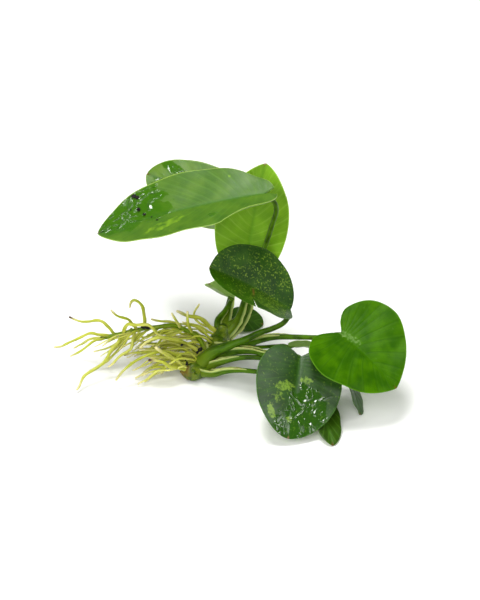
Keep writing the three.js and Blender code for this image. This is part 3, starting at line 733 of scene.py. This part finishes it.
petiole = petioleSkin()
membrane = sheathMembrane()
for number, name in enumerate(stalks):
    makeStalk(name, 201 + number, petiole, membrane)
print("stalks made:", len(stalks))


# scales: shares of the length where papery remains of old leaves stand
rhizome = dict(
    radius=4.6, waist=0.07, rings=5, roundEnd=0.22, scar=0.05, scales=(0.3, 0.45, 0.58, 0.7, 0.8), buds=9,
    patch=4, speck=0.9,
    route=[(-7.5, -1, 4.4), (-1, 0.3, 3.9), (4, 5, 4), (8, 14, 6), (11.5, 23.5, 8.5), (13, 28.5, 10)],
    base="405a04", pale="6e7e1e", deep="283e00", brown="6f5a22", gloss=0.3)


def makeRhizome():
    path, length = smoothRoute(rhizome["route"], 0.6)

    def radiusAt(share, angle):
        fromEnd = min(1, min(share, 1 - share) / rhizome["roundEnd"])
        cap = math.sqrt(1 - (1 - fromEnd) ** 2)
        ring = 1 - rhizome["waist"] * math.cos(2 * math.pi * rhizome["rings"] * share)
        uneven = ripple(9 * np.cos(angle), 9 * np.sin(angle) + share * length, 5, 3)
        lump = 1 + 0.05 * np.sin(3 * angle + 7 * share) + 0.035 * uneven
        toScar = (share * rhizome["rings"] + 0.03 * np.sin(2 * angle)) % 1 - 0.5
        scar = 1 - rhizome["scar"] * np.exp(-((toScar / 0.05) ** 2))
        return max(0.12, cap) * rhizome["radius"] * ring * lump * scar

    verts, faces, places = tubeSkin(path, radiusAt, 48)
    verts[:, 2] = np.maximum(verts[:, 2], 0.05)  # it lies on a flat patch
    parts = [(verts, faces, places)]
    rng = random.Random(77)
    for _ in range(rhizome["buds"]):  # buds and stubs of broken roots
        share, angle = rng.uniform(0.08, 0.75), rng.uniform(1.2, 5.0)
        centre = path[int(share * (len(path) - 1))]
        out = np.array([-math.cos(angle) * 0.8, math.sin(angle), rng.uniform(-0.1, 0.8)])
        out /= np.linalg.norm(out)
        stub = np.array([centre + out * reach for reach in (3.2, 4.4, 5.4, rng.uniform(5.9, 6.6))])
        if stub[:, 2].min() < 1.2:  # it would reach the ground
            continue
        stubPath, _ = smoothRoute(stub, 0.4)
        thick = rng.uniform(0.6, 0.95)
        parts.append(tubeSkin(
            stubPath, lambda s, a: thick * (1.25 - 0.55 * s) * (1 + 0.06 * np.sin(3 * a)), 14))
    verts, faces, places = joinParts(parts)
    addPiece("rhizome_skin", verts, faces, rhizomeRind(), barFields(places, length, 9), "rhizome")


def makeScales(membrane):
    # papery remains of old leaf bases, each a bent strip standing just off the rind
    path, _ = smoothRoute(rhizome["route"], 0.6)
    tangents, sides, ups = carriedFrames(path)
    rng = random.Random(19)
    rows, columns, thickness = 9, 15, 0.16
    parts = []
    for place in rhizome["scales"]:
        start = int(place * (len(path) - 1))
        middle, spread = rng.uniform(0, anyPhase), rng.uniform(0.9, 1.6)
        grid = np.zeros((2, rows, columns, 3))
        for row in range(rows):
            at = min(start + row, len(path) - 1)
            for column in range(columns):
                turn = middle + spread * (column / (columns - 1) - 0.5) * 2 * (1 - 0.35 * (row / rows) ** 2)
                ragged = 0.5 * math.sin(column * 1.9 + place * 40) * row / rows
                off = rhizome["radius"] * 1.04 + 0.9 * (row / rows) ** 1.5 + 0.15 * ragged
                across = math.cos(turn) * sides[at] + math.sin(turn) * ups[at]
                for face in (0, 1):
                    reach = off + thickness * face
                    grid[face, row, column] = path[at] + tangents[at] * ragged + across * reach
        outer = np.arange(rows * columns).reshape(rows, columns)
        inner = outer + rows * columns
        loop = gridBorder(outer)
        nextLoop = np.roll(loop, -1)
        border = np.stack([loop, nextLoop, nextLoop + rows * columns, loop + rows * columns], -1)
        quads = np.vstack([gridFaces(inner), gridFaces(outer)[:, ::-1], border])
        verts = grid.reshape(-1, 3)
        verts[:, 2] = np.maximum(verts[:, 2], 0.1)
        way = np.tile(np.repeat(np.linspace(0, 1, rows), columns), 2)
        places = np.stack([way, 0.35 + 0.65 * way, np.tile(np.arange(columns) * 0.9, 2 * rows)], 1)
        parts.append((verts, quads.tolist(), places))
    verts, faces, places = joinParts(parts)
    fixFacing(addPiece("old_leaf_scales", verts, faces, membrane, {"sheathPlace": places}))


def rhizomeRind():
    # living rhizome rind: smooth moist green, paler on the swellings, bruised brown at the old cut end
    material, tree, place, marks = startBarMaterial("rhizomeRind")
    patches, specks = (
        addNode(tree, "TexNoise", {"Vector": place, "Scale": 1 / rhizome[size], "Detail": 3.0}).outputs[0]
        for size in ("patch", "speck"))
    ringPlace = addNode(tree, "Math", {0: marks[0], 1: rhizome["rings"]}, operation="MULTIPLY").outputs[0]
    toRing = addNode(tree, "Math", {0: ringPlace, 1: 0.5}, operation="PINGPONG").outputs[0]
    cutEnd = addNode(tree, "MapRange", {0: marks[0], 1: 0.16, 2: 0.02}).outputs[0]
    bruise = addNode(tree, "Math", {0: cutEnd, 1: patches}, operation="MULTIPLY").outputs[0]
    layers = [
        (patches, 0.42, 0.62, 0.9, rhizome["pale"]),
        (specks, 0.5, 0.7, 0.45, rhizome["deep"]),
        (toRing, 0.42, 0.49, 0.6, rhizome["deep"]),
        (bruise, 0.2, 0.4, 0.9, rhizome["brown"]),
    ]
    gloss = (specks, 0.3, 0.7, rhizome["gloss"] - 0.08, rhizome["gloss"] + 0.12)
    return finishMaterial(material, rhizome["base"], layers, gloss, [(specks, 0.5, 0.2)], {
        "IOR": 1.42, "Specular IOR Level": 0.3,
        "Subsurface Weight": 0.25, "Subsurface Radius": (1.0, 1.2, 0.3), "Subsurface Scale": 1.5 * mm})


makeRhizome()
makeScales(membrane)
print("rhizome made")


# radius where each root leaves, the colour of its tip and its route
roots = dict(
    far_top=(0.8, "brown", [(-38, 12, 16), (-42.5, 14, 21.5), (-45.5, 15, 21.5), (-49.5, 16, 20),
                            (-53, 17, 19.5), (-58, 18, 21.5)]),
    far_long=(0.8, "beige", [(-40, 11.5, 15.5), (-48.5, 9, 18.5), (-57, 7, 15.5), (-62, 6, 13.5),
                             (-65, 5, 13.5)]),
    far_short=(0.7, "beige", [(-42.5, 11.5, 14.5), (-49.5, 13, 12.5), (-52.5, 14, 9), (-56.5, 15, 6)]),
    far_low=(0.7, "beige", [(-42, 11, 14.5), (-47, 7.5, 15), (-51, 5, 14), (-57, 3, 10)]),
    hook=(0.9, "beige", [(-24.5, 13, 18.5), (-24, 14, 26), (-26, 15, 31), (-28, 15.5, 32.5), (-29.5, 16, 31),
                         (-31, 16.5, 28)]),
    side_up=(0.8, "beige", [(-27.5, 13, 18), (-30.5, 10, 25), (-36, 8, 29), (-38, 7, 33)]),
    arch=(0.9, "beige", [(-34, 12, 16.5), (-32, 9, 22.5), (-27.5, 7, 25.5), (-23, 6, 25), (-19.5, 5.5, 23.5),
                         (-15, 5, 18.5)]),
    long_front=(0.9, "beige", [(-35, 11.4, 15.7), (-36, 8, 14), (-43, 0, 9), (-49.5, -6, 6.5),
                               (-55, -11, 1.5)]),
    down_front=(0.8, "beige", [(-31.5, 12.5, 17), (-33.5, 11, 11.5), (-40, 8.5, 5), (-45, 7, 1.5)]),
    down_short=(0.8, "beige", [(-28.5, 12.5, 17.5), (-30.5, 5, 13), (-36.5, 2, 9), (-40.5, 0, 7)]),
    low_long=(0.9, "beige", [(-1, 2, 5), (-8, 3.5, 9.5), (-14.5, 2, 13.5), (-23.5, -2, 14), (-33, -6, 9),
                             (-36.5, -8, 5)]),
    low_red=(0.8, "red", [(1, 4, 3.5), (-9, 7, 6), (-16.5, 7, 9.5), (-28.5, 8, 8.5), (-33.5, 9, 6.5)]),
    foot=(1.0, "brown", [(-4, -1, 5), (-11, -5, 10), (-16, -6, 13.5), (-21, -7, 15)]),
    diagonal=(1.1, "beige", [(-3, 0, 5), (-11, -1.5, 12), (-18, -3, 19.5)]),
    top_thick=(1.2, "beige", [(9, 22, 9), (3, 21.5, 16.5), (-5.5, 19, 22), (-9, 18, 24)]),
    top_thin=(0.7, "beige", [(11, 25.5, 8.5), (0.5, 27, 12), (-2, 28, 15), (0.5, 29, 20.5)]),
    rise_right=(0.8, "beige", [(-2.5, 13.5, 15.5), (-4, 10.5, 23.5), (-4.5, 9.5, 30)]),
    rise_left=(0.8, "beige", [(-8, 14, 18), (-9.5, 10.5, 25), (-11.5, 10, 29)]),
    behind_runner=(0.8, "beige", [(-5.5, 14, 17), (-11.5, 18, 18), (-21, 20, 19)]),
    middle=(0.9, "beige", [(3.5, 7, 5), (-3, 9.5, 11), (-10, 6, 17.5), (-19, 1, 21.5), (-25.5, -1, 18.5)]),
    middle_back=(0.9, "beige", [(4.5, 8, 4), (-5, 11.5, 8), (-12, 13, 9), (-21, 16, 8), (-29, 19, 7.5)]),
    ground_back=(0.9, "beige", [(8, 15, 6), (0, 20, 8), (-7.5, 22, 7), (-16.5, 25, 5), (-22, 27, 1.5)]),
    ground_front=(0.9, "beige", [(-2, 0, 3.5), (-11, 1.5, 5), (-19, 0.5, 6), (-24.5, -2, 4.5)]),
)
tipKinds = dict(beige=0.0, brown=1.0, red=0.5)  # how dark the tip is
rootForm = dict(girth=0.9, taper=0.35, sway=0.3, swayLength=(10, 20), swell=0.07, swellLength=6, lift=0.1)

# finer roots: the box that they start in, how far they reach from there, how high they arch and their radius
rootletGroups = dict(
    rhizome_flank=dict(count=36, start=((-4, 0, 4), (8, 16, 8)), reach=((-34, -9, -5), (-14, 6, 6)),
                       arch=(0, 6), radius=(0.38, 0.66), seed=31),
    rhizome_top=dict(count=14, start=((2, 10, 7), (10, 22, 11)), reach=((-26, -5, 0), (-9, 5, 9)),
                     arch=(0, 5), radius=(0.38, 0.66), seed=57),
    runner=dict(count=24, start=((-31, 12, 17), (-6, 14, 18)), reach=((-20, -10, -12), (-7, 2, -3)),
                arch=(-2, 3), radius=(0.36, 0.6), seed=83),
)


def rootTube(route, radius, seed, spacing, around):
    # a root keeps its radius for most of its length, then thins to a blunt tip
    path, length = smoothRoute(route, spacing)
    rng = np.random.default_rng(seed)
    way = np.linspace(0, 1, len(path))[:, None]
    sway = np.zeros_like(path)
    for _ in range(2):
        wave = rng.uniform(*rootForm["swayLength"])
        lean = rng.normal(0, rootForm["sway"], 3)
        sway += lean * np.sin(2 * math.pi * way * length / wave + rng.uniform(0, anyPhase, 3))
    path = path + sway * np.minimum(1, way * 5) * min(1.0, length / 20)  # none where it leaves the plant
    path[:, 2] = np.maximum(path[:, 2], radius + rootForm["lift"])
    phase = rng.uniform(0, anyPhase)

    def radiusAt(share, angle):
        swellTurn = 2 * math.pi * share * length / rootForm["swellLength"] + phase
        swell = 1 + rootForm["swell"] * math.sin(swellTurn)
        thinned = radius * rootForm["girth"] * (1 - rootForm["taper"] * share**2)
        return thinned * swell * (1 + 0.05 * np.sin(2 * angle + phase + 4 * share))

    return *tubeSkin(path, radiusAt, around), length


def moistRoot():
    # young aroid root: smooth, moist and half clear, yellow-green with olive stretches and a paler tip
    look = dict(base="b3b840", light="d6d47a", olive="8e9a22", green="64800c", tipBeige="dccfa6",
                tipBrown="4a2c20", stretch=1.2, grain=0.9, gloss=0.33)
    material, tree, place, marks = startBarMaterial("moistRoot")
    drawn = addNode(tree, "Mapping", {0: place, 3: (1, 1, 0.16)}).outputs[0]
    lengths = addNode(tree, "TexNoise", {"Vector": drawn, "Scale": 1 / look["stretch"],
                                         "Detail": 3.0}).outputs[0]
    grain = addNode(tree, "TexNoise", {"Vector": place, "Scale": 1 / look["grain"], "Detail": 2.0}).outputs[0]
    tipMask = addNode(tree, "MapRange", {0: marks[0], 1: 0.9, 2: 0.99}).outputs[0]
    darkTip = addNode(tree, "Math", {0: tipMask, 1: marks[2]}, operation="MULTIPLY").outputs[0]
    layers = [
        (marks[1], 0.55, 1.0, 0.7, look["light"]),
        (marks[1], 0.4, 0.0, 0.6, look["olive"]),
        (lengths, 0.5, 0.72, 0.7, look["olive"]),
        (lengths, 0.46, 0.3, 0.6, look["light"]),
        (marks[0], 0.12, 0.0, 0.6, look["green"]),
        (marks[0], 0.8, 1.0, 0.7, look["tipBeige"]),
        (darkTip, 0, 1, 1, look["tipBrown"]),
    ]
    gloss = (grain, 0.3, 0.7, look["gloss"] - 0.05, look["gloss"] + 0.1)
    return finishMaterial(material, look["base"], layers, gloss, [(grain, 0.35, 0.12)], {
        "IOR": 1.4, "Specular IOR Level": 0.35,
        "Subsurface Weight": 0.35, "Subsurface Radius": (1.2, 1.2, 0.35), "Subsurface Scale": 1.0 * mm})


def makeRoots(skin):
    for number, (name, (radius, tip, route)) in enumerate(roots.items()):
        verts, faces, places, length = rootTube(route, radius, 300 + number, 0.6, 14)
        fields = barFields(places, length, 400 + number, tipKinds[tip])
        addPiece("live_root_" + name, verts, faces, skin, fields, "root_" + name)


def makeRootlets(name, group, skin):
    rng = random.Random(group["seed"])
    parts, fields = [], []
    for number in range(group["count"]):
        start = np.array([rng.uniform(a, b) for a, b in zip(*group["start"])])
        end = start + np.array([rng.uniform(a, b) for a, b in zip(*group["reach"])])
        end[2] = max(end[2], 1.0)
        middle = start + (end - start) * rng.uniform(0.4, 0.6)
        middle[2] += rng.uniform(*group["arch"])
        middle[1] += rng.uniform(-2, 2)
        radius = rng.uniform(*group["radius"])
        *part, length = rootTube([start, middle, end], radius, group["seed"] * 100 + number, 0.9, 10)
        parts.append(part)
        fields.append(barFields(part[2], length, group["seed"] * 50 + number))
    verts, faces, _ = joinParts(parts)
    joined = {key: np.vstack([field[key] for field in fields]) for key in fields[0]}
    addPiece("rootlets_" + name, verts, faces, skin, joined)


rootSkin = moistRoot()
makeRoots(rootSkin)
for name, group in rootletGroups.items():
    makeRootlets(name, group, rootSkin)
print("roots made:", len(roots), "and", sum(group["count"] for group in rootletGroups.values()), "rootlets")


# node: how far apart the joints are
runner = dict(
    radius=1.1, tip=0.9, node=7.5, fibre=0.8, patch=4,
    route=[(4.5, 9.5, 6), (0, 13, 14), (-5.5, 14, 17), (-11, 14, 19.5), (-17.5, 13.5, 19), (-24, 13, 18.5),
           (-34, 12, 16.5), (-43.5, 11, 14.5)],
    base="6c8608", deep="4a6804", pale="98a63c", brown="6e5a2a", gloss=0.3)


def makeRunner():
    path, length = smoothRoute(runner["route"], 0.6)

    def radiusAt(share, angle):
        toJoint = (share * length / runner["node"]) % 1 - 0.5
        joint = math.exp(-((toJoint / 0.07) ** 2))
        base = runner["radius"] + (runner["tip"] - runner["radius"]) * share
        return base * (1 + 0.22 * joint + 0.04 * np.sin(3 * angle + 5 * share))

    verts, faces, places = tubeSkin(path, radiusAt, 18)
    addPiece("runner_skin", verts, faces, runnerRind(), barFields(places, length, 6), "runner")


def runnerRind():
    # slender creeping shoot: firm deep green rind, lengthwise fibres, buff rings where scales have dropped
    material, tree, place, _ = startBarMaterial("runnerRind")
    along = addNode(tree, "SeparateXYZ", {0: place}).outputs[2]
    joints = addNode(tree, "Math", {0: along, 1: 1 / runner["node"]}, operation="MULTIPLY").outputs[0]
    toJoint = addNode(tree, "Math", {0: joints, 1: 0.5}, operation="PINGPONG").outputs[0]
    drawn = addNode(tree, "Mapping", {0: place, 3: (1, 1, 0.1)}).outputs[0]
    fibres = addNode(tree, "TexNoise", {"Vector": drawn, "Scale": 1 / runner["fibre"],
                                        "Detail": 3.0}).outputs[0]
    patches = addNode(tree, "TexNoise", {"Vector": place, "Scale": 1 / runner["patch"],
                                         "Detail": 2.0}).outputs[0]
    layers = [
        (fibres, 0.45, 0.65, 1, runner["deep"]),
        (patches, 0.52, 0.68, 0.7, runner["pale"]),
        (toJoint, 0.44, 0.5, 0.5, runner["brown"]),
    ]
    gloss = (fibres, 0.3, 0.7, runner["gloss"] - 0.05, runner["gloss"] + 0.1)
    return finishMaterial(material, runner["base"], layers, gloss, [(fibres, 0.4, 0.12)], {
        "IOR": 1.45, "Specular IOR Level": 0.2,
        "Subsurface Weight": 0.1, "Subsurface Radius": (0.6, 1.0, 0.15), "Subsurface Scale": 0.8 * mm})


makeRunner()
print("runner made")


# black grains of substrate that cling to the plant
# on a blade: blade, along, out, size; loose: place and size, in millimetres
grit = dict(
    onBlades=[("lance", 58.5, -12, 1.9), ("lance", 57.1, -11.2, 1.3), ("lance", 57.4, -5.1, 1.6),
              ("lance", 55, -2.1, 1.5), ("lance", 52, 0.1, 0.7), ("lance", 49.2, 3.5, 1.1),
              ("lance", 61, -6.4, 0.6)],
    loose=[((-24, 12.4, 19.9), 2.6), ((-22.6, 12.2, 19.4), 1.9), ((1.2, 4.0, 13.2), 2.2),
           ((0.2, 3.5, 12.0), 1.5), ((-4.6, -1.5, 9.6), 1.7), ((-7.0, 4.5, 15.5), 1.2),
           ((-5.3, -0.6, 10.6), 0.9)],
    cuts=9, chip=0.7, dark="070605", light="1c1a16", gloss=0.55)


def wetGravel():
    # crushed dark aquarium soil, wet: near black, with small facets that glint
    material, tree = startMaterial("wetGravel")
    place = addNode(tree, "TexCoord").outputs["Object"]
    chips = addNode(tree, "TexVoronoi", {"Vector": place, "Scale": 1 / (grit["chip"] * mm)}).outputs[0]
    gloss = (chips, 0.0, 0.8, grit["gloss"] - 0.15, grit["gloss"] + 0.2)
    facets = [(chips, 0.6, 0.2)]
    return finishMaterial(material, grit["dark"], [(chips, 0.2, 0.7, 0.7, grit["light"])], gloss, facets, {
        "IOR": 1.5, "Specular IOR Level": 0.25})


def makeGrit():
    rng = np.random.default_rng(5)
    places = []
    for name, along, out, size in grit["onBlades"]:
        onTop = onBlade({**leafCommon, **leaves[name]}, np.array(along), np.array(out), 0.25 + 0.2 * size)
        places.append((onTop, size))
    places += [(np.array(place), size) for place, size in grit["loose"]]
    parts = []
    for centre, size in places:
        grain = bmesh.new()
        bmesh.ops.create_icosphere(grain, subdivisions=3, radius=1)
        verts = np.array([v.co for v in grain.verts])
        faces = [tuple(v.index for v in face.verts) for face in grain.faces]
        grain.free()
        cuts = rng.normal(0, 1, (grit["cuts"], 3))
        cuts /= np.linalg.norm(cuts, axis=1)[:, None]
        for cut in cuts:  # broken faces
            over = np.maximum(verts @ cut - rng.uniform(0.55, 0.8), 0)
            verts -= over[:, None] * cut
        radius = rng.uniform(0.75, 1.25, 3) * size * 0.6  # the cuts take the rest of it
        parts.append((centre + verts * radius, faces, verts))
    verts, faces, _ = joinParts(parts)
    addPiece("substrate_grit", verts, faces, wetGravel(), {})


makeGrit()
print("grit made")


# boxes: soft lights about a metre from the plant, with the way to each, its size in metres and its power
studio = dict(
    aim=(19.35, 11.15, 35.6), lens=135.0, distance=1012.5, downward=35.0,  # degrees below the level
    boxes=dict(
        overhead=dict(place=(-0.08, 0.08, 0.99), size=(0.34, 0.34), power=8.0),
        left=dict(place=(-0.75, -0.20, 0.63), size=(0.22, 0.22), power=1.6),
        right=dict(place=(0.86, 0.05, 0.50), size=(0.4, 0.4), power=2.4),
        front=dict(place=(-0.20, -0.85, 0.70), size=(1.0, 0.8), power=9.0)),
    card="f7f7f5", felt="ffffff", feltSize=4, roughness=0.9, sky="ffffff", skyStrength=0.26)


def paperCard():
    # matt white card, uncoated: even and shadow-soft, with a faint felt mottle
    material, tree = startMaterial("paperCard")
    place = addNode(tree, "TexCoord").outputs["Object"]
    felt = addNode(tree, "TexNoise", {"Vector": place, "Scale": 1 / (studio["feltSize"] * mm),
                                      "Detail": 3.0}).outputs[0]
    matt = (felt, 0.0, 1.0, studio["roughness"], studio["roughness"])  # the same all over
    return finishMaterial(material, studio["card"], [(felt, 0.3, 0.7, 0.15, studio["felt"])], matt, [], {
        "Specular IOR Level": 0.2})


def makeStudio():
    card = bpy.data.meshes.new("card")
    card.from_pydata([(-2, -2, 0), (2, -2, 0), (2, 2, 0), (-2, 2, 0)], [], [(0, 1, 2, 3)])
    card.materials.append(paperCard())
    floor = bpy.data.objects.new("card", card)
    bpy.context.scene.collection.objects.link(floor)
    aim = Vector(studio["aim"]) * mm
    for name, box in studio["boxes"].items():
        lamp = bpy.data.lights.new(name, "AREA")
        lamp.shape = "RECTANGLE"
        lamp.size, lamp.size_y = box["size"]
        lamp.energy = box["power"]
        light = bpy.data.objects.new(name, lamp)
        light.location = aim + Vector(box["place"])
        light.rotation_euler = (-Vector(box["place"])).to_track_quat("-Z", "Y").to_euler()
        bpy.context.scene.collection.objects.link(light)
    world = bpy.data.worlds.new("studio")
    world.use_nodes = True
    background = world.node_tree.nodes["Background"]
    background.inputs["Color"].default_value = linearColor(studio["sky"])
    background.inputs["Strength"].default_value = studio["skyStrength"]
    bpy.context.scene.world = world
    bpy.context.scene.view_settings.view_transform = "Standard"
    lens = bpy.data.cameras.new("camera")
    lens.lens, lens.sensor_width = studio["lens"], 36.0
    camera = bpy.data.objects.new("camera", lens)
    down = math.radians(studio["downward"])
    camera.location = aim + Vector((0, -math.cos(down), math.sin(down))) * studio["distance"] * mm
    camera.rotation_euler = (math.pi / 2 - down, 0, 0)
    bpy.context.scene.collection.objects.link(camera)
    bpy.context.scene.camera = camera


makeStudio()
print("studio made")
